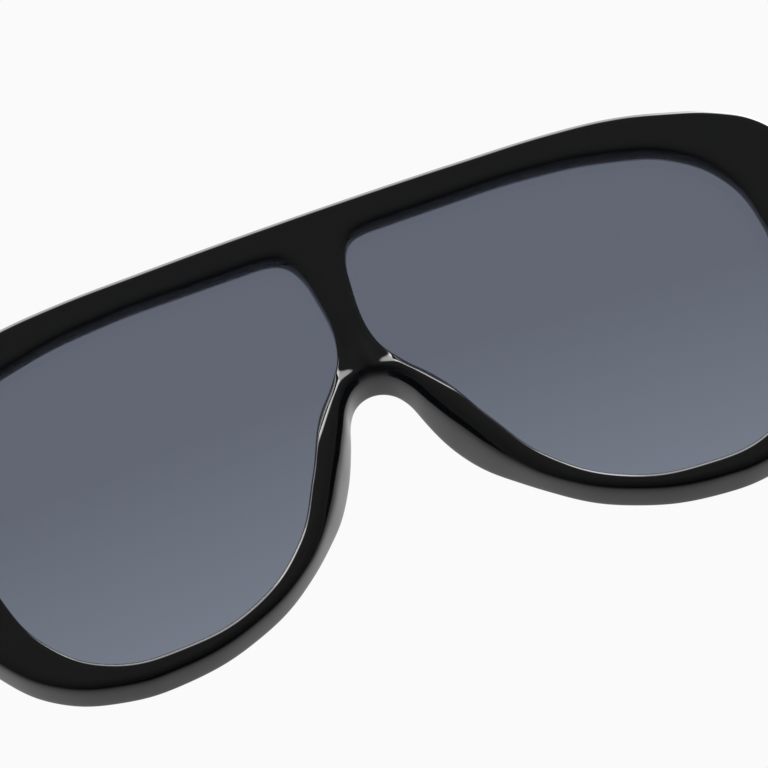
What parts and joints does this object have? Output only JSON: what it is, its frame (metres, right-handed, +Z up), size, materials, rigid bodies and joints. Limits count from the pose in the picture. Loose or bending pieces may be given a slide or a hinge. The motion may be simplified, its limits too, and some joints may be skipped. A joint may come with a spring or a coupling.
{
  "type": "sunglasses",
  "caption": "Oversized pilot-shape sunglasses: thick glossy black front with a flat brow, separate grey lenses, a saddle nose and folding temples on barrel hinges.",
  "frame": {"origin": "middle of the footprint, on the surface that the open glasses stand on", "axes": "+X to the wearer's left along the front, +Y from the front to the ears, +Z up"},
  "size_m": [0.1496, 0.1438, 0.0647],
  "materials": {
    "frame_black": "polished black cellulose acetate",
    "lens_grey": "grey tinted lens, a little lighter at the bottom",
    "hinge_nickel": "tumbled nickel silver",
    "screw_steel": "turned stainless steel",
    "wire_nickel": "rolled nickel silver strip"
  },
  "bodies": {
    "front": {"front_frame": "frame_black", "left_lens": "lens_grey", "left_front_leaf": "hinge_nickel", "left_hinge_screw": "screw_steel", "left_front_leaf_screws": "screw_steel", "right_lens": "lens_grey", "right_front_leaf": "hinge_nickel", "right_hinge_screw": "screw_steel", "right_front_leaf_screws": "screw_steel"},
    "left_temple_arm": {"left_temple": "frame_black", "left_temple_leaf": "hinge_nickel", "left_temple_leaf_screws": "screw_steel", "left_core_wire": "wire_nickel"},
    "right_temple_arm": {"right_temple": "frame_black", "right_temple_leaf": "hinge_nickel", "right_temple_leaf_screws": "screw_steel", "right_core_wire": "wire_nickel"}
  },
  "joints": [
    {"name": "left_temple_fold", "type": "hinge", "parent": "front", "child": "left_temple_arm", "pos_m": [0.0683, -0.05879, 0.04654], "axis": [0, 0, 1], "range_deg": [0, 90]},
    {"name": "right_temple_fold", "type": "hinge", "parent": "front", "child": "right_temple_arm", "pos_m": [-0.0683, -0.05879, 0.04654], "axis": [0, 0, -1], "range_deg": [0, 82]}
  ]
}
